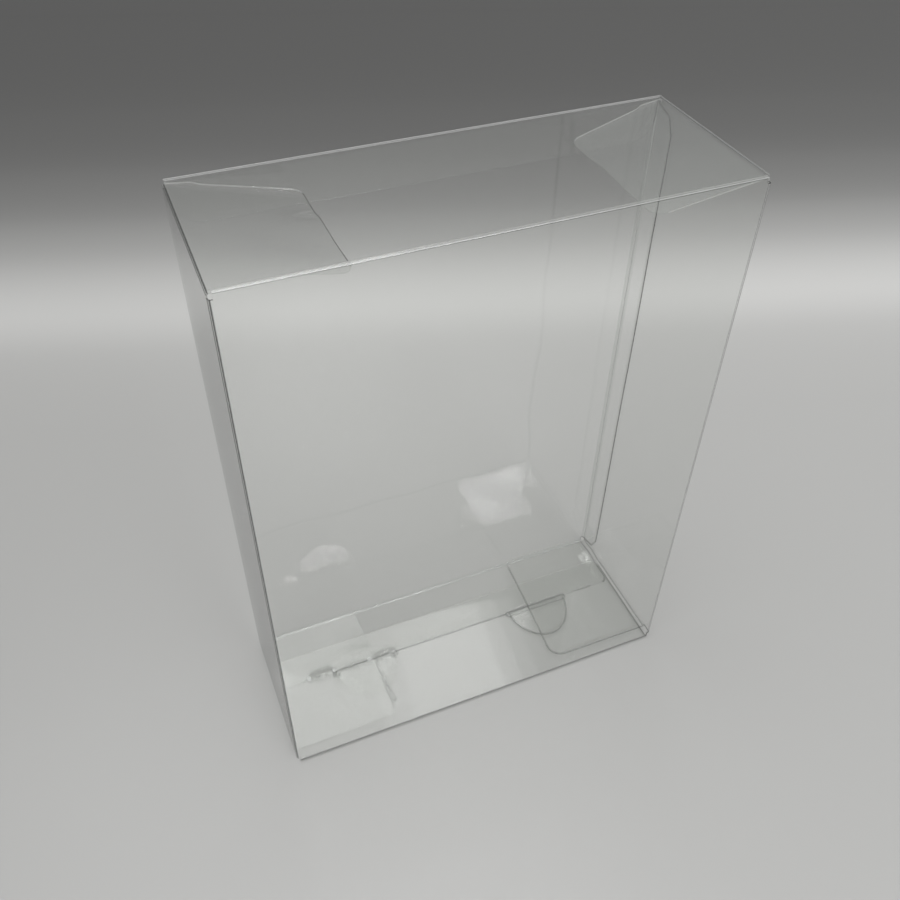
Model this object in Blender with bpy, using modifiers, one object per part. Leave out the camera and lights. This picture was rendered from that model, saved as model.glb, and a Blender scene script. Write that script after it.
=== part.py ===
"""A clear display box, die-cut from one sheet of PET film, folded up and glued at one seam.

Metres, +Z up. The origin is the middle of the footprint, on the surface that the box stands on.
The front wall faces -Y and the wide side runs along X. The lid is hinged on the front top edge.

The body is made as the real one is: a flat blank is cut out, scored along its creases and folded.
"""

import math
from collections import namedtuple

import bmesh
import bpy
from mathutils import Vector

MM = 0.001

# Outside size of the folded box
WIDTH = 140 * MM
DEPTH = 53 * MM
HEIGHT = 192 * MM

# The film, and how it folds
FILM = 0.35 * MM
FOLD_RADIUS = 0.45 * MM
ARC_STEP = math.radians(18)
LAYER_GAP = 0.15 * MM
CORNER_RELIEF = 1.2 * MM

# The glued seam: a tab from the back wall, bonded inside the right wall
TAB_WIDTH = 9.8 * MM
TAB_SLOPE = 1.8 * MM
TAB_CHAMFER = 4.8 * MM
TAB_CHAMFER_WIDTH = 2.4 * MM
TAB_ROUND = 1 * MM
SEAM_SETBACK = 0.6 * MM
GLUE_THICKNESS = 0.05 * MM
GLUE_WIDTH = 5.5 * MM
GLUE_END = 12 * MM

# The lid and its tuck flap
LID_GAP = 0.3 * MM
LID_SIDE_GAP = 0.5 * MM
HINGE_LIP = 0.15 * MM
HINGE_GAP = 0.3 * MM
TUCK_DROP = 12.6 * MM
TUCK_CORNER = 8 * MM
TUCK_TAPER = 1.2 * MM
TUCK_CLEARANCE = 0.3 * MM

# The dust flaps under the lid
TOP_DUST_LENGTH = 32.5 * MM
TOP_DUST_SAG = math.radians(8)
SHOULDER_LENGTH = 7 * MM
SHOULDER_RUN = 2 * MM
SHOULDER_STEP = 1.3 * MM
SHOULDER_CLEARANCE = 0.9 * MM
TOP_DUST_TAPER = 5 * MM
TOP_DUST_CORNER = 3.6 * MM

# The bottom flaps that lock into each other
FRONT_FLAP_REACH = 41 * MM
FRONT_FLAP_CORNER = 3 * MM
BACK_FLAP_REACH = 23.3 * MM
BACK_FLAP_CORNER = 2 * MM
TONGUE_OFFSET = 35.5 * MM
TONGUE_WIDTH = 24 * MM
TONGUE_LENGTH = 15.5 * MM
TONGUE_RISE = math.radians(40)
TONGUE_STEPS = 20
SLOT_CLEARANCE = 0.2 * MM
SLOT_END_CLEARANCE = 0.5 * MM
SLOT_CORNER = 0.5 * MM

# The dust flaps inside the bottom
BOTTOM_DUST_LENGTH = 37.5 * MM
BOTTOM_DUST_SLANT = 2.5 * MM
BOTTOM_DUST_FRONT_GAP = 4 * MM
BOTTOM_DUST_FRONT_CORNER = 5 * MM
BOTTOM_DUST_BACK_CORNER = 3 * MM

# The straight piece of wall that each fold starts from
FOLD_RUN = 0.5 * MM

# Points this close are one
WELD = 1e-7

# Places of the film's middle surface
BEND = FOLD_RADIUS + FILM / 2
SIDE = WIDTH / 2 - FILM / 2
TAB_SIDE = SIDE - FILM - GLUE_THICKNESS
BACK = DEPTH / 2 - FILM / 2
TOP = HEIGHT - FILM / 2
GROUND = FILM / 2
LAYER = FILM + LAYER_GAP
SIDE_TOP = HEIGHT - FILM - LID_GAP - FILM / 2

# The front flap climbs over the back flap's straight edge, and on to its own free edge
BACK_FLAP_EDGE = DEPTH - FILM / 2 - BACK_FLAP_REACH
FRONT_FLAP_SLOPE = LAYER / BACK_FLAP_EDGE
FRONT_FLAP_END = FRONT_FLAP_REACH - FILM / 2
FRONT_FLAP_TOP = GROUND + FRONT_FLAP_SLOPE * FRONT_FLAP_END

# The side walls' bottom folds lie over the front flap, and their flaps climb over the tongues
SIDE_GROUND = FRONT_FLAP_TOP + LAYER
TONGUE_TOP = GROUND + FRONT_FLAP_SLOPE * BACK_FLAP_EDGE + LAYER
TONGUE_NEAR_SIDE = WIDTH / 2 - TONGUE_OFFSET - TONGUE_WIDTH / 2 - FILM / 2
BOTTOM_DUST_SLOPE = (TONGUE_TOP + LAYER - SIDE_GROUND) / TONGUE_NEAR_SIDE

# The heights between which the walls are plain
WALL_LOW = SIDE_GROUND + BEND + FOLD_RUN
WALL_HIGH = SIDE_TOP - BEND - FOLD_RUN

# The hinge line, on the lid's upper face in the middle of the gap at the front fold
HINGE_Y = -BACK + BEND + HINGE_LIP + HINGE_GAP / 2
TUCK_HEAD = DEPTH / 2 - FILM - TUCK_CLEARANCE - FILM / 2


def rounded(corners):
    """Points along straight runs, with an arc at each inner corner (x, y, radius) that has a radius."""
    points = []
    for i, (x, y, radius) in enumerate(corners):
        corner = Vector((x, y))
        if radius == 0:
            points.append(corner)
            continue
        before = Vector(corners[i - 1][:2]) - corner
        after = Vector(corners[(i + 1) % len(corners)][:2]) - corner
        half = before.angle(after) / 2
        before.normalize()
        after.normalize()
        centre = corner + (before + after).normalized() * radius / math.sin(half)
        first = corner + before * radius / math.tan(half) - centre
        turn = math.copysign(math.pi - 2 * half, after.cross(before))
        steps = max(2, math.ceil(abs(turn) / ARC_STEP))
        for k in range(steps + 1):
            angle = math.atan2(first.y, first.x) + turn * k / steps
            points.append(centre + radius * Vector((math.cos(angle), math.sin(angle))))
    return points


def distances(path):
    """How far along the path each of its points lies."""
    found = [0.0]
    for start, end in zip(path, path[1:]):
        found.append(found[-1] + (end - start).length)
    return found


def point_at(path, distance):
    """The point this far along the path. Past its end the last run goes straight on."""
    for start, end in zip(path, path[1:]):
        run = (end - start).length
        if distance <= run:
            break
        distance -= run
    else:
        distance += run
    return start + (end - start) * distance / run


def distance_to(path, inward):
    """How far along the path its inward coordinate comes to this value."""
    for start, end, before in zip(path, path[1:], distances(path)):
        last = end is path[-1]
        if end.x > start.x and (inward <= end.x or last):
            return before + (end - start).length * (inward - start.x) / (end.x - start.x)
    return 0.0


def top_path(level, slope, reach):
    """Distances in from a wall, and heights, up over its top fold and inward at this slope."""
    fall = math.tan(slope) * reach
    return rounded([(0, WALL_HIGH, 0), (0, level, BEND), (reach, level - fall, 0)])


def bottom_path(level, slope, reach):
    """Distances in from a wall, and heights, down round its bottom fold and in, at this rise per length."""
    return rounded([(0, WALL_LOW, 0), (0, level, BEND), (reach, level + slope * reach, 0)])


def back_flap_path():
    """The back wall's bottom path: along the ground, then up as the tongues rise, and down the front flap."""
    edge = BACK_FLAP_REACH - FILM / 2
    on_front_flap = GROUND + FRONT_FLAP_SLOPE * (2 * BACK - edge) + LAYER
    climb = (on_front_flap - GROUND) / math.tan(TONGUE_RISE)
    tip = edge + climb + TONGUE_LENGTH
    tip_level = on_front_flap - FRONT_FLAP_SLOPE * (tip - edge)
    landing_level = on_front_flap - FRONT_FLAP_SLOPE * climb
    return rounded(
        [
            (0, WALL_LOW, 0),
            (0, GROUND, BEND),
            (edge, GROUND, 0),
            (edge + climb, landing_level, 0),
            (tip, tip_level, 0),
        ]
    )


def lid_path():
    """From the hinge gap to the back, and down the tuck flap, which leans in so that it clears the wall."""
    start = HINGE_Y + HINGE_GAP / 2
    reach = TUCK_HEAD - HINGE_Y
    foot = HINGE_Y + math.sqrt(reach**2 - TUCK_DROP**2)
    return rounded([(start, TOP, 0), (TUCK_HEAD, TOP, BEND), (foot, HEIGHT - TUCK_DROP, 0)])


def flat_sheet(outlines):
    """A flat sheet cut to the first outline, with the others as holes in it, facing +Z."""
    bm = bmesh.new()
    for outline in outlines:
        verts = [bm.verts.new((x, y, 0)) for x, y in outline]
        for start, end in zip(verts, verts[1:] + verts[:1]):
            bm.edges.new((start, end))
    bmesh.ops.triangle_fill(bm, edges=bm.edges, normal=(0, 0, 1), use_beauty=True)
    return bm


def score(bm, across, places, region):
    """Cuts a region of the flat sheet, square across this direction, at each of these places."""
    start, end, low, high = region
    for place in places:
        faces = []
        for face in bm.faces:
            centre = face.calc_center_median()
            if start <= centre.x <= end and low <= centre.y <= high:
                faces.append(face)
        edges = {edge for face in faces for edge in face.edges}
        verts = {vert for face in faces for vert in face.verts}
        bmesh.ops.bisect_plane(
            bm,
            geom=faces + list(edges) + list(verts),
            dist=WELD,
            plane_co=across * place,
            plane_no=across,
        )


def film_object(name, bm, material, collection):
    """The folded sheet as an object, given its thickness on both sides of its middle surface."""
    mesh = bpy.data.meshes.new(name)
    for edge in bm.edges:
        edge.smooth = not edge.is_boundary
    bm.to_mesh(mesh)
    bm.free()
    mesh.shade_smooth()
    film = bpy.data.objects.new(name, mesh)
    film.data.materials.append(material)
    collection.objects.link(film)
    thickness = film.modifiers.new("film thickness", "SOLIDIFY")
    thickness.thickness = FILM
    thickness.offset = 0
    thickness.use_even_offset = True
    thickness.use_quality_normals = True
    return film


# One wall: where it starts and ends along the flat blank, the way in from it, and its flaps' paths
Panel = namedtuple("Panel", "start end inward top bottom")


def wall_plan():
    """The walls' middle surface seen from above, from the glue tab's free edge round to the right wall's."""
    corners = [
        (TAB_SIDE, DEPTH / 2 - TAB_WIDTH, 0),
        (TAB_SIDE, BACK, BEND),
        (-SIDE, BACK, BEND),
        (-SIDE, -BACK, BEND),
        (SIDE, -BACK, BEND),
        (SIDE, DEPTH / 2 - SEAM_SETBACK, 0),
    ]
    return rounded(corners)


def wall_panel(plan, start, end, top, bottom):
    """The wall between two sharp corners of the plan, which the flat blank measures along its film."""
    run = Vector(end) - Vector(start)
    straight = Vector(start) + run.normalized() * BEND
    nearest = min(range(len(plan)), key=lambda i: (plan[i] - straight).length)
    first = distances(plan)[nearest] - BEND
    inward = run.orthogonal().normalized()
    return Panel(first, first + run.length, inward, top, bottom)


def top_dust_outline(panel, back_first):
    """A top dust flap's points, from the panel's start to its end, with the shoulder towards the back."""
    root = WALL_HIGH
    tip = root + distance_to(panel.top, TOP_DUST_LENGTH * math.cos(TOP_DUST_SAG) - FILM / 2)
    shoulder_end = root + distance_to(panel.top, SHOULDER_LENGTH - FILM / 2)
    neck = root + distance_to(panel.top, SHOULDER_LENGTH + SHOULDER_RUN - FILM / 2)
    tuck_face = TUCK_HEAD - FILM / 2
    shoulder = BACK - tuck_face + SHOULDER_CLEARANCE
    front = CORNER_RELIEF - FILM / 2
    from_back = [
        (shoulder, root, 0),
        (shoulder, shoulder_end, 0),
        (shoulder + SHOULDER_STEP, neck, 0),
        (shoulder + SHOULDER_STEP + TOP_DUST_TAPER, tip, TOP_DUST_CORNER),
        (2 * BACK - front, tip, TOP_DUST_CORNER),
        (2 * BACK - front, root, 0),
    ]
    if back_first:
        return [(panel.start + d, h, r) for d, h, r in from_back]
    return [(panel.end - d, h, r) for d, h, r in reversed(from_back)]


def bottom_dust_outline(panel, back_first):
    """A bottom dust flap's points, from the panel's end back to its start."""
    root = WALL_LOW
    short = root - distance_to(panel.bottom, BOTTOM_DUST_LENGTH - FILM / 2)
    long = root - distance_to(panel.bottom, BOTTOM_DUST_LENGTH + BOTTOM_DUST_SLANT - FILM / 2)
    back = CORNER_RELIEF - FILM / 2
    front = BOTTOM_DUST_FRONT_GAP - FILM / 2
    from_front = [
        (2 * BACK - front, root, 0),
        (2 * BACK - front, long, BOTTOM_DUST_FRONT_CORNER),
        (back, short, BOTTOM_DUST_BACK_CORNER),
        (back, root, 0),
    ]
    if back_first:
        return [(panel.start + d, h, r) for d, h, r in from_front]
    return [(panel.end - d, h, r) for d, h, r in reversed(from_front)]


def tongue_points(middle, panel):
    """The half ellipse of one tongue, from its end that is further along the blank."""
    edge = WALL_LOW - distance_to(panel.bottom, BACK_FLAP_REACH - FILM / 2)
    points = []
    for k in range(TONGUE_STEPS + 1):
        angle = math.pi * k / TONGUE_STEPS
        along = middle + TONGUE_WIDTH / 2 * math.cos(angle)
        points.append((along, edge - TONGUE_LENGTH * math.sin(angle), 0))
    return points


def back_flap_outline(panel):
    """The bottom back flap's points, from the panel's end back to its start, with its two tongues."""
    root = WALL_LOW
    edge = root - distance_to(panel.bottom, BACK_FLAP_REACH - FILM / 2)
    inset = CORNER_RELIEF - FILM / 2
    middle = panel.end - SIDE
    return [
        (panel.end - inset, root, 0),
        (panel.end - inset, edge, BACK_FLAP_CORNER),
        *tongue_points(middle + TONGUE_OFFSET, panel),
        *tongue_points(middle - TONGUE_OFFSET, panel),
        (panel.start + inset, edge, BACK_FLAP_CORNER),
        (panel.start + inset, root, 0),
    ]


def front_flap_outline(panel):
    """The bottom front flap's points, from the panel's end back to its start."""
    root = WALL_LOW
    edge = root - distance_to(panel.bottom, FRONT_FLAP_END)
    inset = CORNER_RELIEF - FILM / 2
    return [
        (panel.end - inset, root, 0),
        (panel.end - inset, edge, FRONT_FLAP_CORNER),
        (panel.start + inset, edge, FRONT_FLAP_CORNER),
        (panel.start + inset, root, 0),
    ]


def slot_outline(panel, offset):
    """The slot in the front flap that one tongue comes up through."""
    level = GROUND + FRONT_FLAP_SLOPE * BACK_FLAP_EDGE
    tongue_half = FILM / 2 / math.sin(TONGUE_RISE)
    low = (level - FILM / 2 - GROUND) / math.tan(TONGUE_RISE) - tongue_half
    high = (level + FILM / 2 - GROUND) / math.tan(TONGUE_RISE) + tongue_half
    rear = WALL_LOW - distance_to(panel.bottom, BACK_FLAP_EDGE - low + SLOT_CLEARANCE)
    front = WALL_LOW - distance_to(panel.bottom, BACK_FLAP_EDGE - high - SLOT_CLEARANCE)
    middle = (panel.start + panel.end) / 2 + offset
    half = TONGUE_WIDTH / 2 + SLOT_END_CLEARANCE
    corners = [
        (middle - half, rear, SLOT_CORNER),
        (middle + half, rear, SLOT_CORNER),
        (middle + half, front, SLOT_CORNER),
        (middle - half, front, SLOT_CORNER),
    ]
    return rounded(corners)


def front_lip_outline(panel):
    """The short lip over the front wall's fold, which the lid's hinge starts from."""
    root = WALL_HIGH
    end = root + distance_to(panel.top, BEND + HINGE_LIP)
    inset = CORNER_RELIEF - FILM / 2
    return [
        (panel.start + inset, root, 0),
        (panel.start + inset, end, 0),
        (panel.end - inset, end, 0),
        (panel.end - inset, root, 0),
    ]


def body_panels(plan):
    """The back, left, front and right walls, in their order along the blank."""
    side_bottom = bottom_path(SIDE_GROUND, BOTTOM_DUST_SLOPE, WIDTH / 2)
    side_top = top_path(SIDE_TOP, TOP_DUST_SAG, WIDTH / 2)
    front_top = top_path(TOP, 0, DEPTH)
    front_bottom = bottom_path(GROUND, FRONT_FLAP_SLOPE, DEPTH)
    return (
        wall_panel(plan, (TAB_SIDE, BACK), (-SIDE, BACK), None, back_flap_path()),
        wall_panel(plan, (-SIDE, BACK), (-SIDE, -BACK), side_top, side_bottom),
        wall_panel(plan, (-SIDE, -BACK), (SIDE, -BACK), front_top, front_bottom),
        wall_panel(plan, (SIDE, -BACK), (SIDE, BACK), side_top, side_bottom),
    )


def body_blank(panels, free_edge):
    """The flat blank, from the tab's edge to the right wall's: one outline, and the front flap's slots."""
    back_wall, left_wall, front_wall, right_wall = panels
    tab_corner = back_wall.start - BEND
    tab_drop = TAB_SLOPE + TAB_CHAMFER
    corners = [
        (0, WALL_LOW + tab_drop, TAB_ROUND),
        (0, WALL_HIGH - tab_drop, TAB_ROUND),
        (TAB_CHAMFER_WIDTH, WALL_HIGH - TAB_SLOPE, TAB_ROUND),
        (tab_corner, WALL_HIGH, 0),
        *top_dust_outline(left_wall, True),
        *front_lip_outline(front_wall),
        *top_dust_outline(right_wall, False),
        (free_edge, WALL_HIGH, 0),
        (free_edge, WALL_LOW, 0),
        *bottom_dust_outline(right_wall, False),
        *front_flap_outline(front_wall),
        *bottom_dust_outline(left_wall, True),
        *back_flap_outline(back_wall),
        (tab_corner, WALL_LOW, 0),
        (TAB_CHAMFER_WIDTH, WALL_LOW + TAB_SLOPE, TAB_ROUND),
    ]
    slots = [slot_outline(front_wall, side * TONGUE_OFFSET) for side in (-1, 1)]
    return [rounded(corners), *slots]


def make_body(material, collection, helpers):
    """Cuts the blank, scores it, folds it up and glues its seam."""
    plan = wall_plan()
    panels = body_panels(plan)
    folds = distances(plan)
    bm = flat_sheet(body_blank(panels, folds[-1]))
    along, up = Vector((1, 0, 0)), Vector((0, 1, 0))
    score(bm, up, (WALL_LOW, WALL_HIGH), (0, folds[-1], -HEIGHT, 2 * HEIGHT))
    score(bm, along, folds[1:-1], (0, folds[-1], WALL_LOW, WALL_HIGH))
    for panel in panels:
        if panel.top:
            creases = [WALL_HIGH + place for place in distances(panel.top)[1:-1]]
            score(bm, up, creases, (panel.start, panel.end, WALL_HIGH, 2 * HEIGHT))
        creases = [WALL_LOW - place for place in distances(panel.bottom)[1:-1]]
        score(bm, up, creases, (panel.start, panel.end, -HEIGHT, WALL_LOW))
    for vert in bm.verts:
        vert.co = folded(vert.co, plan, panels)
    body = film_object("box_body", bm, material, collection)
    glue_seam(body, helpers)
    return body


def folded(place, plan, panels):
    """Where a point of the flat blank lies on the folded box."""
    wall = point_at(plan, place.x)
    if WALL_LOW - WELD <= place.y <= WALL_HIGH + WELD:
        return Vector((wall.x, wall.y, place.y))
    panel = next(panel for panel in panels if panel.start <= place.x <= panel.end)
    if place.y > WALL_HIGH:
        reach, height = point_at(panel.top, place.y - WALL_HIGH)
    else:
        reach, height = point_at(panel.bottom, WALL_LOW - place.y)
    across = wall + panel.inward * reach
    return Vector((across.x, across.y, height))


def glue_seam(body, helpers):
    """Bonds the tab to the right wall with a line of glue that sinks half a film into each."""
    across = WIDTH / 2 - FILM - GLUE_THICKNESS / 2
    along = DEPTH / 2 - (TAB_WIDTH + BEND) / 2
    bpy.ops.mesh.primitive_cube_add(size=1, location=(across, along, HEIGHT / 2))
    glue = bpy.context.object
    glue.name = "glue_line"
    glue.scale = (FILM + GLUE_THICKNESS, GLUE_WIDTH, HEIGHT - 2 * GLUE_END)
    glue.display_type = "WIRE"
    glue.hide_render = True
    for holder in glue.users_collection:
        holder.objects.unlink(glue)
    helpers.objects.link(glue)
    bond = body.modifiers.new("glued seam", "BOOLEAN")
    bond.operation = "UNION"
    bond.solver = "EXACT"
    bond.object = glue


def flatten_walls(film):
    """Keeps the large panels flat to look at, beside folds that are shaded smooth."""
    normals = film.modifiers.new("flat panels", "WEIGHTED_NORMAL")
    normals.keep_sharp = True


def make_lid(material, collection):
    """Cuts and folds the lid, with its origin on the hinge line."""
    path = lid_path()
    half = WIDTH / 2 - LID_SIDE_GAP
    end = distances(path)[-1]
    fold = distance_to(path, TUCK_HEAD - BEND)
    corners = [
        (-half, 0, 0),
        (half, 0, 0),
        (half, fold, 0),
        (half - TUCK_TAPER, end, TUCK_CORNER),
        (TUCK_TAPER - half, end, TUCK_CORNER),
        (-half, fold, 0),
    ]
    bm = flat_sheet([rounded(corners)])
    score(bm, Vector((0, 1, 0)), distances(path)[1:-1], (-half, half, 0, end))
    for vert in bm.verts:
        across = point_at(path, vert.co.y)
        vert.co = Vector((vert.co.x, across.x - HINGE_Y, across.y - HEIGHT))
    lid = film_object("lid", bm, material, collection)
    lid.location = (0, HINGE_Y, HEIGHT)
    return lid


def clear_film(name):
    """Clear PET with a faint cool tint."""
    material = bpy.data.materials.new(name)
    material.use_nodes = True
    shader = material.node_tree.nodes["Principled BSDF"]
    shader.inputs["Base Color"].default_value = (0.88, 0.93, 0.91, 1)
    shader.inputs["Roughness"].default_value = 0.04
    shader.inputs["Metallic"].default_value = 0
    shader.inputs["IOR"].default_value = 1.57
    shader.inputs["Transmission Weight"].default_value = 1
    return material


def main():
    for existing in list(bpy.data.objects):
        bpy.data.objects.remove(existing)
    box = bpy.data.collections.new("clear display box")
    helpers = bpy.data.collections.new("cutters")
    for collection in (box, helpers):
        bpy.context.scene.collection.children.link(collection)
    body = make_body(clear_film("body film"), box, helpers)
    lid = make_lid(clear_film("lid film"), box)
    for film in (body, lid):
        flatten_walls(film)


main()
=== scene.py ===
"""A clear display box folded from one sheet of plastic film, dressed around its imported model."""

import math

import bmesh
import bpy
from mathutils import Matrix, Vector


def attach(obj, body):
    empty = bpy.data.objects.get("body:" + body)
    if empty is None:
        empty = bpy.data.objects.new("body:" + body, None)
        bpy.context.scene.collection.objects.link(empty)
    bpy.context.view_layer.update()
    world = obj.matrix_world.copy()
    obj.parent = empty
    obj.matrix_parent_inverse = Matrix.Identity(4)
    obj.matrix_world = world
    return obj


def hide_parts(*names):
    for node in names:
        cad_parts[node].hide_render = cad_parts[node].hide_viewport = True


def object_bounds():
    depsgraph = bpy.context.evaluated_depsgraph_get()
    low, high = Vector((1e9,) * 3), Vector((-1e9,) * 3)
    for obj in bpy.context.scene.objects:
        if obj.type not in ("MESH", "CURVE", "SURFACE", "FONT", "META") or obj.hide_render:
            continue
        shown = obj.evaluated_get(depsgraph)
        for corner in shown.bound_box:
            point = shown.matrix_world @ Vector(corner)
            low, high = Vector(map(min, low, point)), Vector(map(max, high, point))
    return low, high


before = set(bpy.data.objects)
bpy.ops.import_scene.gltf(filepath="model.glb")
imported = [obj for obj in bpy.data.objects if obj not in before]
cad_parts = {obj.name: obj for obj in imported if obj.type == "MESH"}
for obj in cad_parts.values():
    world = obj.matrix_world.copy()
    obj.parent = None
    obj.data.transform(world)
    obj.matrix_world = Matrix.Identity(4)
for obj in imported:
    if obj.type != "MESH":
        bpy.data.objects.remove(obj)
cad_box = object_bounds()
scene = bpy.context.scene
scene.view_settings.view_transform = "Standard"

# The camera looks down into the box from its front left corner.
CAMERA_PLACE = (-0.0869, -0.1920, 0.3001)
CAMERA_TURN = (46.51, -0.85, -22.58)
CAMERA_LENS = 37.41

camera = bpy.data.objects.new("camera", bpy.data.cameras.new("camera"))
camera.location = CAMERA_PLACE
camera.rotation_euler = [math.radians(angle) for angle in CAMERA_TURN]
camera.data.lens = CAMERA_LENS
camera.data.sensor_width = 36
camera.data.clip_start = 0.01
scene.camera = camera
scene.collection.objects.link(camera)

# The film lies up to ten layers deep in this view, and each layer has two faces that mirror each other. The
# low lamps, seen in two films in turn, are brighter than the usual limit on such a mirrored light.
scene.cycles.transparent_max_bounces = 64
scene.cycles.glossy_bounces = 8
scene.cycles.sample_clamp_indirect = 20


# The box body: one die-cut sheet of clear PET film, calendered to a high gloss. Its walls and flaps are
# folded up along creases, and its seam is glued inside the back right corner. The mesh is the packed
# solid's own, cut finely enough to bend, because film never lies quite flat.

# The film is seen by what it mirrors, more and more as it turns edge on, and where it was creased or cut.
# There its finishes paint shade for the dark surroundings that the bent film would show, and white that is
# partly stress whitening, partly painted highlight. Fingers have left faint smudges on it.
FILM = 0.00035
FILM_TINT = (0.995, 0.997, 0.994, 1)
FILM_ROUGHNESS = 0.03
FILM_MIRROR = 0.049
EDGE_ON_POWER = 5
SHADOW_PALER = 0.6
WHITENED = (0.9, 0.9, 0.9, 1)
SMUDGES_PER_METRE = 45
SMUDGES_FROM, SMUDGES_TO = 0.45, 0.75
SMUDGED = 2.2


def math_node(nodes, operation, *settings):
    """A math node with its inputs after the first one set."""
    node = nodes.new("ShaderNodeMath")
    node.operation = operation
    for number, setting in enumerate(settings, start=1):
        node.inputs[number].default_value = setting
    return node


def mirror_share(nodes, links, head_on):
    """How much the film mirrors, from head on to edge on, the same from both of its sides.

    A shadow is paler than that share, because what one film takes from the light its neighbours give back.
    """
    facing = nodes.new("ShaderNodeLayerWeight")
    facing.inputs["Blend"].default_value = 0.5
    path = nodes.new("ShaderNodeLightPath")
    steep = math_node(nodes, "POWER", EDGE_ON_POWER)
    share = math_node(nodes, "MULTIPLY_ADD", 1 - head_on, head_on)
    paler = math_node(nodes, "MULTIPLY_ADD", -SHADOW_PALER, 1)
    kept = math_node(nodes, "MULTIPLY")
    links.new(facing.outputs["Facing"], steep.inputs[0])
    links.new(steep.outputs[0], share.inputs[0])
    links.new(path.outputs["Is Shadow Ray"], paler.inputs[0])
    links.new(share.outputs[0], kept.inputs[0])
    links.new(paler.outputs[0], kept.inputs[1])
    return kept.outputs[0]


def smudged_gloss(nodes, links, roughness):
    """A mirror finish that cloudy smudges make duller here and there."""
    place = nodes.new("ShaderNodeTexCoord")
    smudges = nodes.new("ShaderNodeTexNoise")
    smudges.inputs["Scale"].default_value = SMUDGES_PER_METRE
    smudges.inputs["Detail"].default_value = 4
    duller = nodes.new("ShaderNodeMapRange")
    duller.inputs["From Min"].default_value = SMUDGES_FROM
    duller.inputs["From Max"].default_value = SMUDGES_TO
    duller.inputs["To Min"].default_value = roughness
    duller.inputs["To Max"].default_value = roughness * SMUDGED
    gloss = nodes.new("ShaderNodeBsdfGlossy")
    links.new(place.outputs["Object"], smudges.inputs["Vector"])
    links.new(smudges.outputs["Fac"], duller.inputs["Value"])
    links.new(duller.outputs["Result"], gloss.inputs["Roughness"])
    return gloss.outputs[0]


def whitened(nodes, links, clear, haze):
    """The clear film with a share of it turned white, which glows from both of its sides; on creases, edges
    and spots this white is partly a painted highlight.
    """
    through = nodes.new("ShaderNodeBsdfTranslucent")
    through.inputs["Color"].default_value = WHITENED
    back = nodes.new("ShaderNodeBsdfDiffuse")
    back.inputs["Color"].default_value = WHITENED
    white = nodes.new("ShaderNodeMixShader")
    white.inputs["Fac"].default_value = 0.5
    mixed = nodes.new("ShaderNodeMixShader")
    mixed.inputs["Fac"].default_value = haze
    links.new(through.outputs[0], white.inputs[1])
    links.new(back.outputs[0], white.inputs[2])
    links.new(clear, mixed.inputs[1])
    links.new(white.outputs[0], mixed.inputs[2])
    return mixed.outputs[0]


def film_material(name, tint, roughness, haze, head_on):
    """Film that shows what is behind it and mirrors its surroundings."""
    material = bpy.data.materials.new(name)
    material.use_nodes = True
    nodes, links = material.node_tree.nodes, material.node_tree.links
    nodes.clear()
    clear = nodes.new("ShaderNodeBsdfTransparent")
    clear.inputs["Color"].default_value = tint
    surface = whitened(nodes, links, clear.outputs[0], haze) if haze else clear.outputs[0]
    mirrored = nodes.new("ShaderNodeMixShader")
    out = nodes.new("ShaderNodeOutputMaterial")
    links.new(mirror_share(nodes, links, head_on), mirrored.inputs["Fac"])
    links.new(surface, mirrored.inputs[1])
    links.new(smudged_gloss(nodes, links, roughness), mirrored.inputs[2])
    links.new(mirrored.outputs[0], out.inputs["Surface"])
    return material


def grey(level):
    """A grey tint, very faintly green, as the film is; its darker levels are painted shade on creases, edges
    and rims.
    """
    return (level, level * 1.01, level, 1)


# Each finish has its tint, its roughness, the share of it that is white and how much it mirrors head on.
# The crease, edge and rim finishes paint shade with their grey tints, and highlights, partly stress
# whitening, with their white shares.
FINISHES = {
    "clear_film": (FILM_TINT, FILM_ROUGHNESS, 0, FILM_MIRROR),
    "painted_shade_crease": (grey(0.28), 0.08, 0.02, FILM_MIRROR),
    "shaded_crease": (grey(0.55), 0.08, 0.02, 0.02),
    "painted_soft_shade_crease": (grey(0.78), 0.08, 0.02, 0.02),
    "painted_faint_shade_crease": (grey(0.94), 0.08, 0.06, FILM_MIRROR),
    "whitened_crease_painted_highlight": (grey(0.95), 0.15, 0.30, 0.15),
    "bright_crease": (grey(0.97), 0.20, 0.40, 0.11),
    "hazy_film": (grey(0.98), 0.12, 0.06, FILM_MIRROR),
    "painted_glint_film": (grey(0.97), 0.12, 0.35, 0.10),
    "whitened_film_painted_highlight": (grey(0.97), 0.15, 0.85, 0.15),
    "painted_shade_edge": (grey(0.20), 0.15, 0.05, FILM_MIRROR),
    "painted_shade_rim": (grey(0.86), 0.10, 0.02, FILM_MIRROR),
    "painted_faint_shade_edge": (grey(0.92), 0.15, 0.06, FILM_MIRROR),
    "painted_highlight_edge": (grey(0.90), 0.20, 0.55, 0.15),
}
FINISH_NAMES = list(FINISHES)
FILM_MATERIALS = [film_material(name, *looks) for name, looks in FINISHES.items()]


def give_finish(face, name):
    face.material_index = FINISH_NAMES.index(name)


def select_only(piece):
    bpy.ops.object.select_all(action="DESELECT")
    piece.select_set(True)
    bpy.context.view_layer.objects.active = piece


def film_piece(name, node):
    """A copy of a packed film solid, merged, with its panels whole again."""
    piece = bpy.data.objects.new(name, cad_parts[node].data.copy())
    scene.collection.objects.link(piece)
    select_only(piece)
    bpy.ops.object.mode_set(mode="EDIT")
    bpy.ops.mesh.select_all(action="SELECT")
    bpy.ops.mesh.remove_doubles(threshold=1e-6)
    bpy.ops.mesh.dissolve_limited(angle_limit=math.radians(1))
    bpy.ops.object.mode_set(mode="OBJECT")
    piece.data.materials.clear()
    for material in FILM_MATERIALS:
        piece.data.materials.append(material)
    return piece


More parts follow.
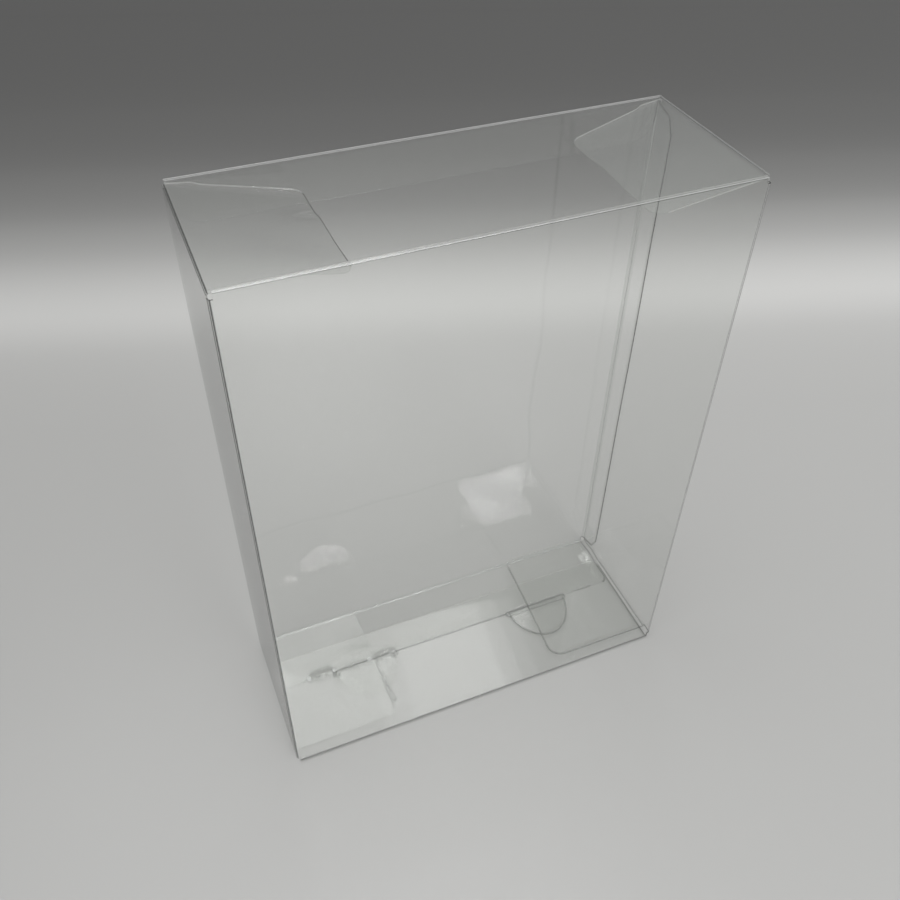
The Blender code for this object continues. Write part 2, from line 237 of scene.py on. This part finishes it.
# The box's own sizes. What lies less than NEAR from an outer face belongs to that wall or its folds, and what
# lies below BOTTOM_STACK belongs to the bottom.
FRONT = cad_box[0][1]
RIGHT, BACK, TOP = cad_box[1]
NEAR = 0.0012
BOTTOM_STACK = 0.003

# The bottom's layers, by height: the back flap, the front flap, the back flap's two tongues, which come up
# through the front flap's slots at the middle line, and the dust flaps on top.
MID_LINE = 0.003
TONGUE_MIDDLE = 0.0355
TONGUE_HALF = 0.0125
TONGUE_TIP = -0.0125
BETWEEN_TONGUES = 0.0236
FRONT_FLAP_TOP, FRONT_FLAP_SLOPE = 0.0009, 0.0169
DUST_FLAP_TIP = 0.025
DUST_FLAP_FRONT = -0.0225
DUST_FLAP_OVER_TONGUE = 0.0015
DUST_FLAP_BESIDE = 0.0013


def on_dust_flap(place):
    """Whether this point belongs to one of the bottom's dust flaps."""
    if place.z > BOTTOM_STACK or abs(place.x) < DUST_FLAP_TIP:
        return False
    over_tongue = abs(place.x) < TONGUE_MIDDLE + TONGUE_HALF
    return place.z > (DUST_FLAP_OVER_TONGUE if over_tongue else DUST_FLAP_BESIDE)


def on_tongue(place):
    """Whether this point belongs to a tongue, in front of the slot that it comes up through."""
    beside = abs(abs(place.x) - TONGUE_MIDDLE) > TONGUE_HALF
    below = place.z < FRONT_FLAP_TOP + FRONT_FLAP_SLOPE * place.y
    return not (beside or below or place.y > MID_LINE or on_dust_flap(place))


# A fold is a run of narrow facets. How far round the fold a facet lies is told by its steepest part.
FOLD_FACET = 0.0003
LEVEL = 0.1
MIDDLE_FACETS = math.cos(math.radians(18))
HALFWAY_FACETS = math.cos(math.radians(36))


def crease_finish(place, normal):
    """The finish of one facet of a fold, by which fold it is and how far round the fold it lies: painted
    shade or a painted highlight.
    """
    steepest = max(abs(part) for part in normal)
    middle = steepest < MIDDLE_FACETS
    halfway = steepest < HALFWAY_FACETS
    double_line = middle and not halfway
    runs_across = abs(normal.x) < LEVEL
    if abs(normal.z) < LEVEL and place.y > 0:
        return "painted_faint_shade_crease"
    if abs(normal.z) < LEVEL:
        dark = double_line if place.x < 0 else middle
        return "painted_shade_crease" if dark else "whitened_crease_painted_highlight"
    if place.z < TOP / 2 and place.y > 0 and runs_across:
        return "painted_faint_shade_crease"
    if place.z < TOP / 2 and middle:
        return "shaded_crease" if runs_across else "painted_soft_shade_crease"
    if place.z < TOP / 2:
        return "clear_film"
    if place.y < FRONT + NEAR and halfway:
        return "bright_crease"
    if place.y < FRONT + NEAR and middle:
        return "painted_soft_shade_crease" if abs(normal.y) > abs(normal.z) else "painted_faint_shade_crease"
    if place.y < FRONT + NEAR:
        return "clear_film"
    if runs_across:
        return "whitened_film_painted_highlight" if middle else "clear_film"
    if place.x < 0:
        return "painted_shade_crease" if double_line else "painted_faint_shade_crease"
    return "whitened_crease_painted_highlight" if middle else "painted_faint_shade_crease"


# The right top dust flap's front edge steps back at SHOULDER. The edges of the slots and of the back flap lie
# in front of SLOT_EDGES.
SHOULDER = 0.059
SLOT_EDGES = 0.010


def edge_finish(place, normal):
    """The finish of one face of the cut edge: edges that face the back get a painted highlight, most others
    painted shade.
    """
    if place.z > TOP - NEAR and place.y < FRONT + NEAR:
        return "bright_crease" if abs(normal.x) < 0.5 else "clear_film"
    if place.z > TOP - 2 * NEAR and place.y > BACK - NEAR:
        return "clear_film"
    if place.z > TOP - NEAR and place.x > RIGHT - NEAR:
        return "painted_highlight_edge"
    if place.z < BOTTOM_STACK and place.x < -BETWEEN_TONGUES:
        return "clear_film" if on_tongue(place) else "painted_faint_shade_edge"
    if place.z < BOTTOM_STACK and place.x < BETWEEN_TONGUES and place.y < SLOT_EDGES:
        return "shaded_crease"
    if place.z > TOP / 2 and SHOULDER < place.x < RIGHT - NEAR and normal.y < -0.3:
        return "painted_highlight_edge"
    inside = abs(place.x) < RIGHT - NEAR
    in_shade = normal.y < -0.3 or normal.x < -0.9 and place.x > 0
    if inside and (normal.z < -0.5 or place.z > TOP / 2 and in_shade):
        return "painted_faint_shade_edge"
    return "painted_highlight_edge" if normal.y > 0.3 else "painted_shade_edge"


# A rim lies beside each fold and cut edge. Some cut edges get a soft dark line of painted shade as wide as
# the rim, and the lid's rim along its back fold is whitened, partly as a painted highlight.
RIM = 0.0007
LID_LEVEL = 0.001


def has_painted_shade_rim(place):
    if place.z > BOTTOM_STACK:
        return place.x > RIGHT - NEAR
    return -BETWEEN_TONGUES < place.x < RIGHT - NEAR and place.y < SLOT_EDGES


def beside_back_fold(place):
    return place.z > TOP - LID_LEVEL and place.y > BACK - 2 * NEAR


# A face of the cut edge is as wide as the film is thick, and its area is about half its outline times that.
FILM_SLACK = 0.00003
CUT_FACE_AREA = 0.6


def is_cut(face, lengths):
    """Whether this face, with edges of these lengths, is a face of the cut edge."""
    through = [length for length in lengths if abs(length - FILM) < FILM_SLACK]
    return len(through) > 1 and face.calc_area() < FILM * sum(lengths) * CUT_FACE_AREA


def sort_faces(piece):
    """Gives the cut edges, the rims along them and the facets of the folds their own finishes."""
    bm = bmesh.new()
    bm.from_mesh(piece.data)
    panels, cut_faces = [], []
    for face in bm.faces:
        finish = "clear_film"
        lengths = [edge.calc_length() for edge in face.edges]
        if is_cut(face, lengths):
            finish = edge_finish(face.calc_center_median(), face.normal)
            cut_faces.append(face)
        elif face.calc_area() / max(lengths) < FOLD_FACET:
            finish = crease_finish(face.calc_center_median(), face.normal)
        else:
            panels.append(face)
        give_finish(face, finish)
    rims = bmesh.ops.inset_region(bm, faces=panels, thickness=RIM, use_boundary=True)
    for face in rims["faces"]:
        place = face.calc_center_median()
        beside_cut = any(other in cut_faces for edge in face.edges for other in edge.link_faces)
        if beside_cut and has_painted_shade_rim(place):
            give_finish(face, "painted_shade_rim")
        elif not beside_cut and beside_back_fold(place):
            give_finish(face, "whitened_crease_painted_highlight")
    bm.to_mesh(piece.data)
    bm.free()


def cut_grid(piece, low, high, spacing, axes):
    """Cuts the film between two corners of a box across, at even steps, so that it can bend there."""
    bm = bmesh.new()
    bm.from_mesh(piece.data)
    for axis in axes:
        steps = round((high[axis] - low[axis]) / spacing)
        across = Vector([float(axis == other) for other in range(3)])
        for step in range(1, steps):
            plane = Vector((0, 0, 0))
            plane[axis] = low[axis] + (high[axis] - low[axis]) * step / steps
            faces = [
                face for face in bm.faces
                if all(low[other] < face.calc_center_median()[other] < high[other] for other in range(3))
            ]
            edges = {edge for face in faces for edge in face.edges}
            verts = {vert for face in faces for vert in face.verts}
            cut = faces + list(edges) + list(verts)
            bmesh.ops.bisect_plane(bm, geom=cut, plane_co=plane, plane_no=across, dist=1e-7)
    bm.to_mesh(piece.data)
    bm.free()


def ease(distance, over):
    """Rises from 0 at no distance to 1 at this distance and beyond, without a corner."""
    share = min(max(distance / over, 0), 1)
    return share * share * (3 - 2 * share)


# The two tongues slope up to their slots, and bend down to them over TONGUE_BEND.
LEFT_TONGUE_RISE, RIGHT_TONGUE_RISE = 0.0013, 0.0009
TONGUE_BEND = 0.0015


def tongue_rise(place):
    """How far a tongue is lifted at this point: the left one as a flat, the right one more in its middle."""
    up = max((place.y - TONGUE_TIP) / (MID_LINE - TONGUE_TIP), 0) * ease(MID_LINE - place.y, TONGUE_BEND)
    if place.x < 0:
        return LEFT_TONGUE_RISE * up
    from_middle = (place.x - TONGUE_MIDDLE) / TONGUE_HALF
    return RIGHT_TONGUE_RISE * up * max(1 - from_middle ** 2, 0)


# The bottom dust flaps slope up to the back, the right one more, and the left one curls up at its back.
LEFT_DUST_FLAP_SLOPE, RIGHT_DUST_FLAP_SLOPE = 0.012, 0.06
DUST_FLAP_SLOPES_FOR = 0.028
DUST_FLAP_EASE = 0.010
CURL_FROM, CURL = 0.008, 1.1


def dust_flap_rise(place):
    """How far a bottom dust flap is lifted at this point."""
    slope = LEFT_DUST_FLAP_SLOPE if place.x < 0 else RIGHT_DUST_FLAP_SLOPE
    curl = CURL * max(place.y - CURL_FROM, 0) ** 2 if place.x < 0 else 0
    rise = slope * min(place.y - DUST_FLAP_FRONT, DUST_FLAP_SLOPES_FOR) + curl
    return rise * ease(RIGHT - NEAR - abs(place.x), DUST_FLAP_EASE)


# Ripples in the left of the bottom, along its middle line, where the tongue was pushed through, and one at
# the glue tab's foot. Each has its middle (x, y), its half length and half width, and its height.
RIPPLES = (
    ((-0.0522, 0.0030), (0.0052, 0.0022), 0.00030),
    ((-0.0400, 0.0012), (0.0070, 0.0018), 0.00016),
    ((-0.0270, 0.0028), (0.0042, 0.0022), 0.00040),
    ((0.0672, 0.0185), (0.0034, 0.0050), 0.00120),
)
RIPPLE_SPREAD = 1.25


def ripple_rise(place):
    """How far the ripples lift the bottom at this point."""
    rise = 0
    for middle, half, height in RIPPLES:
        away = math.hypot((place.x - middle[0]) / half[0], (place.y - middle[1]) / half[1])
        rise += height * ease(RIPPLE_SPREAD - away, RIPPLE_SPREAD)
    return rise


# The left top dust flap lies close under the lid at its front, and only its free corner sags.
TOP_FLAP_TIP = 0.037
TOP_FLAP_HIGHEST, TOP_FLAP_LOWEST = TOP - 0.0007, TOP - 0.008
TOP_FLAP_CLEAR_OF_WALLS = 0.0005
TOP_FLAP_LENGTH = 0.0325
TOP_FLAP_LIFT, TOP_FLAP_SAG = 0.0043, 0.0006
TOP_FLAP_BEND = 0.6
TOP_FLAP_FRONT_DEPTH = 0.030


def top_flap_rise(place):
    """How far the left top dust flap is lifted at this point."""
    across = -RIGHT + NEAR < place.x < -TOP_FLAP_TIP and abs(place.y) < BACK - TOP_FLAP_CLEAR_OF_WALLS
    if not across or not TOP_FLAP_LOWEST < place.z < TOP_FLAP_HIGHEST:
        return 0
    out = (place.x + RIGHT) / TOP_FLAP_LENGTH
    up = TOP_FLAP_LIFT * min(out, TOP_FLAP_BEND) - TOP_FLAP_SAG * ease(out - TOP_FLAP_BEND, 1 - TOP_FLAP_BEND)
    return up * (1 - ease(place.y - FRONT, TOP_FLAP_FRONT_DEPTH))


# The foot of the glue tab is crumpled: its middle (y, z) on the right wall, its radius and its depth.
CRUMPLE_MIDDLE = (0.0150, 0.0060)
CRUMPLE_RADIUS = 0.0060
CRUMPLE_DEPTH = 0.0003
CRUMPLE_EASE = 0.8


def crumple_depth(place):
    """How far the right wall and the glue tab are pushed in at this point."""
    if place.x < RIGHT - NEAR:
        return 0
    from_middle = math.hypot(place.y - CRUMPLE_MIDDLE[0], place.z - CRUMPLE_MIDDLE[1])
    return CRUMPLE_DEPTH * ease(1 - from_middle / CRUMPLE_RADIUS, CRUMPLE_EASE)


# Waves die out towards the folds, and at the back wall also where the tuck flap goes down behind it.
EASE_ALONG, EASE_UP = 0.020, 0.030
TUCK_DEPTH = 0.014


def on_front_or_back(place):
    """How freely the front and back walls may move at this point."""
    if BACK - abs(place.y) > NEAR or abs(place.x) > RIGHT - NEAR:
        return 0
    upright = ease(place.z, EASE_UP) * ease(TOP - TUCK_DEPTH - place.z, EASE_UP)
    return ease(RIGHT - abs(place.x), EASE_ALONG) * upright


def on_sides(place):
    """How freely the side walls and the glue tab may move at this point."""
    if RIGHT - abs(place.x) > NEAR or abs(place.y) > BACK - NEAR:
        return 0
    upright = ease(place.z, EASE_UP) * ease(TOP - place.z, EASE_UP)
    return ease(BACK - abs(place.y), EASE_ALONG) * upright


def on_bottom(place):
    """How freely the bottom's flaps may rise at this point."""
    if place.z > BOTTOM_STACK:
        return 0
    return ease(RIGHT - NEAR - abs(place.x), EASE_ALONG) * ease(BACK - NEAR - abs(place.y), EASE_ALONG)


# Each wave has where it runs, how freely the film moves there, its direction, its height and its length. The
# flaps at the bottom only rise, because they lie on the ground.
WAVES = (
    ("front and back", on_front_or_back, "Y", 0.0008, 0.045),
    ("sides", on_sides, "X", 0.0006, 0.040),
    ("bottom", on_bottom, "Z", 0.00016, 0.035),
)


def wave(piece, name, weight, axis, height, length):
    """Moves the film along one axis by a cloudy pattern, as far as weight allows at each point."""
    group = piece.vertex_groups.new(name=name)
    for vertex in piece.data.vertices:
        share = weight(vertex.co)
        if share > 0:
            group.add([vertex.index], share, "REPLACE")
    clouds = bpy.data.textures.new(name, "CLOUDS")
    clouds.noise_basis = "IMPROVED_PERLIN"
    clouds.noise_scale = length
    clouds.noise_depth = 1
    waves = piece.modifiers.new(name, "DISPLACE")
    waves.texture = clouds
    waves.texture_coords = "LOCAL"
    waves.direction = axis
    waves.strength = height
    waves.mid_level = 0 if axis == "Z" else 0.5
    waves.vertex_group = name
    select_only(piece)
    bpy.ops.object.modifier_apply(modifier=name)


# Painted highlights: white spots along the ripples that stand in for glints, each with its place (x, y), its
# radius and its finish. Where a tongue or a ripple is steep, but not where it stands upright, the film is a
# little rougher and darkened by painted shade.
PAINTED_GLINT_SPOTS = (
    ((-0.0570, 0.0030), 0.0008, "painted_glint_film"),
    ((-0.0475, 0.0030), 0.0008, "painted_glint_film"),
    ((-0.0340, 0.0026), 0.0008, "painted_glint_film"),
    ((-0.0240, 0.0026), 0.0010, "whitened_film_painted_highlight"),
)
STEEP_ON_LEFT, STEEP_ON_RIGHT, UPRIGHT = 0.97, 0.90, 0.5
STEEP_BAND = 0.001
TOP_FLAP_HANG = 0.02


def finish_spots(piece):
    """Paints the glint spots white, paints shade on the steep film at the middle line and hazes the right top
    dust flap.
    """
    for face in piece.data.polygons:
        x, y, z = face.center
        clear = face.material_index == FINISH_NAMES.index("clear_film")
        if clear and z > TOP - TOP_FLAP_HANG and TOP_FLAP_TIP < x < RIGHT - NEAR and abs(y) < BACK - NEAR:
            give_finish(face, "hazy_film")
        if abs(x) > TONGUE_MIDDLE + 2 * TONGUE_HALF or z > BOTTOM_STACK + STEEP_BAND:
            continue
        flattest = STEEP_ON_LEFT if x < 0 else STEEP_ON_RIGHT
        if 0 < y < MID_LINE + STEEP_BAND and UPRIGHT < abs(face.normal.z) < flattest:
            give_finish(face, "painted_shade_rim")
        for (spot_x, spot_y), radius, finish in PAINTED_GLINT_SPOTS:
            if math.hypot(x - spot_x, y - spot_y) < radius:
                give_finish(face, finish)


def finish_film(piece, body, node):
    """Shades the piece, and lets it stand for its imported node."""
    select_only(piece)
    bpy.ops.object.shade_smooth_by_angle(angle=math.radians(30))
    piece.modifiers.new("flat panels", "WEIGHTED_NORMAL").keep_sharp = True
    bpy.ops.object.modifier_apply(modifier="flat panels")
    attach(piece, body)
    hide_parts(node)


# The whole box is cut at GRID, and more finely at the left of the bottom and at the glue tab's foot, on the
# bottom and on the wall. Each fine grid has its low and high corners, its spacing and the axes it is cut on.
GRID = 0.004
PAST_THE_BOX = 1.1
FINE_GRIDS = (
    ((-0.0690, -0.022, -0.001), (-0.022, 0.006, BOTTOM_STACK), 0.0007, (0, 1)),
    ((0.0600, 0.008, -0.001), (0.0695, 0.022, BOTTOM_STACK), 0.0007, (0, 1)),
    ((RIGHT - NEAR, 0.004, 0.001), (RIGHT + NEAR, 0.024, 0.014), 0.0010, (1, 2)),
)

body = film_piece("film_body", "box_body")
sort_faces(body)
cut_grid(body, Vector(cad_box[0]) * PAST_THE_BOX, Vector(cad_box[1]) * PAST_THE_BOX, GRID, (0, 1, 2))
for grid in FINE_GRIDS:
    cut_grid(body, *grid)
for vertex in body.data.vertices:
    place = vertex.co.copy()
    if on_tongue(place):
        vertex.co.z += tongue_rise(place)
    if on_dust_flap(place):
        vertex.co.z += dust_flap_rise(place)
    if place.z < BOTTOM_STACK:
        vertex.co.z += ripple_rise(place)
    vertex.co.z += top_flap_rise(place)
    vertex.co.x -= crumple_depth(place)
for settings in WAVES:
    wave(body, *settings)
finish_spots(body)
finish_film(body, "box_body", "box_body")


# The lid: the end of the same sheet of film. It is creased at the front top edge and again at its back, where
# its tuck flap goes down inside the back wall and holds it shut by friction alone.
lid = film_piece("film_lid", "lid")
sort_faces(lid)
finish_film(lid, "lid", "lid")


# The floor: a pale surface that falls off into shade behind the box, where less light reaches it. It is
# brightest in a band before the shade. It lies a hair below the box, so that the two don't share a plane.
FLOOR_SIZE = 8
FLOOR_GAP = 0.0002
FLOOR_ROUGHNESS = 0.30
FLOOR_WARMTH = 0.98
FALL_DIRECTION = (0.305, 0.952, 0)
FALL_START, FALL_END = -0.40, 0.70
FALL_GREYS = {
    -0.30: 0.53,
    -0.06: 0.45,
    0.13: 0.45,
    0.19: 0.50,
    0.23: 0.60,
    0.28: 0.43,
    0.33: 0.26,
    0.40: 0.158,
    0.50: 0.112,
    0.69: 0.093,
}
SIDE_PAINTED_LIGHT = 0.35


def floor_finish():
    """Grey by how far back a point lies, as painted shade, and a little brighter towards the right, as
    painted light.
    """
    material = bpy.data.materials.new("floor")
    material.use_nodes = True
    nodes, links = material.node_tree.nodes, material.node_tree.links
    place = nodes.new("ShaderNodeTexCoord")
    away = nodes.new("ShaderNodeVectorMath")
    away.operation = "DOT_PRODUCT"
    away.inputs[1].default_value = FALL_DIRECTION
    reach = nodes.new("ShaderNodeMapRange")
    reach.inputs["From Min"].default_value = FALL_START
    reach.inputs["From Max"].default_value = FALL_END
    ramp = nodes.new("ShaderNodeValToRGB")
    ramp.color_ramp.interpolation = "CARDINAL"
    stops = ramp.color_ramp.elements
    while len(stops) < len(FALL_GREYS):
        stops.new(0.5)
    for stop, (distance, level) in zip(stops, FALL_GREYS.items()):
        stop.position = (distance - FALL_START) / (FALL_END - FALL_START)
        stop.color = (level, level, level * FLOOR_WARMTH, 1)
    across = nodes.new("ShaderNodeSeparateXYZ")
    rise = math_node(nodes, "MULTIPLY_ADD", SIDE_PAINTED_LIGHT, 1)
    lit = nodes.new("ShaderNodeVectorMath")
    lit.operation = "SCALE"
    links.new(place.outputs["Object"], away.inputs[0])
    links.new(away.outputs["Value"], reach.inputs["Value"])
    links.new(reach.outputs["Result"], ramp.inputs["Fac"])
    links.new(place.outputs["Object"], across.inputs[0])
    links.new(across.outputs["X"], rise.inputs[0])
    links.new(ramp.outputs["Color"], lit.inputs[0])
    links.new(rise.outputs[0], lit.inputs["Scale"])
    links.new(lit.outputs["Vector"], nodes["Principled BSDF"].inputs["Base Color"])
    nodes["Principled BSDF"].inputs["Roughness"].default_value = FLOOR_ROUGHNESS
    return material


bpy.ops.object.select_all(action="DESELECT")
bpy.ops.mesh.primitive_plane_add(size=FLOOR_SIZE, location=(0, 0, -FLOOR_GAP))
floor = bpy.context.object
floor.name = "floor"
floor.data.materials.append(floor_finish())


# The lamps overhead: two wide soft ones, turned a little. The flat flaps in the box's bottom mirror the far
# one, whose far edge ends the bright patch there. The right dust flap, which slopes, mirrors the gap between
# the two.

# The near lamp is one pane. The far one is four, one over the other: they end one after the other for a soft
# right edge, and leave it dimmer on the left, where two flaps mirror it. Each pane has its left, right, near
# and far edges and its radiance.
LAMP_TURN = -7
LAMP_HEIGHT = 1.5
PANE_GAP = 0.002
PANES = (
    (-0.75, 0.39, -0.60, 0.36, 4.0),
    (0.18, 0.39, 0.68, 1.037, 0.6),
    (0.12, 0.39, 0.68, 1.037, 0.6),
    (-0.75, 0.43, 0.68, 1.037, 1.0),
    (-0.75, 0.47, 0.68, 1.037, 0.7),
)


def area_lamp(name, width, length, radiance):
    """A flat lamp of this size, which looks this bright from every side."""
    data = bpy.data.lights.new(name, "AREA")
    data.shape = "RECTANGLE"
    data.size, data.size_y = width, length
    data.energy = radiance * math.pi * data.size * data.size_y
    lamp = bpy.data.objects.new(name, data)
    scene.collection.objects.link(lamp)
    return lamp


for number, (left, right, near, far, radiance) in enumerate(PANES):
    pane = area_lamp(f"overhead_{number}", right - left, far - near, radiance)
    pane.rotation_euler.z = math.radians(LAMP_TURN)
    middle = Vector(((left + right) / 2, (near + far) / 2, LAMP_HEIGHT + PANE_GAP * number))
    pane.location = pane.rotation_euler.to_matrix() @ middle

# Two small low lamps behind the camera: the back wall mirrors one by way of the left tongue and the other by
# way of the right dust flap, as pale patches. Each has its place, its size and its radiance.
LOW_LAMPS = (
    ((0.275, -1.561, 1.203), (0.46, 0.31), 20),
    ((0.690, -1.415, 1.288), (0.40, 0.24), 13),
)

for number, (lamp_place, (width, length), radiance) in enumerate(LOW_LAMPS):
    lamp = area_lamp(f"low_{number}", width, length, radiance)
    lamp.location = lamp_place
    lamp.rotation_euler = Vector(lamp_place).to_track_quat("Z", "Y").to_euler()

WORLD_GREY = (0.28, 0.28, 0.28, 1)
scene.world = bpy.data.worlds.new("studio")
scene.world.use_nodes = True
scene.world.node_tree.nodes["Background"].inputs["Color"].default_value = WORLD_GREY
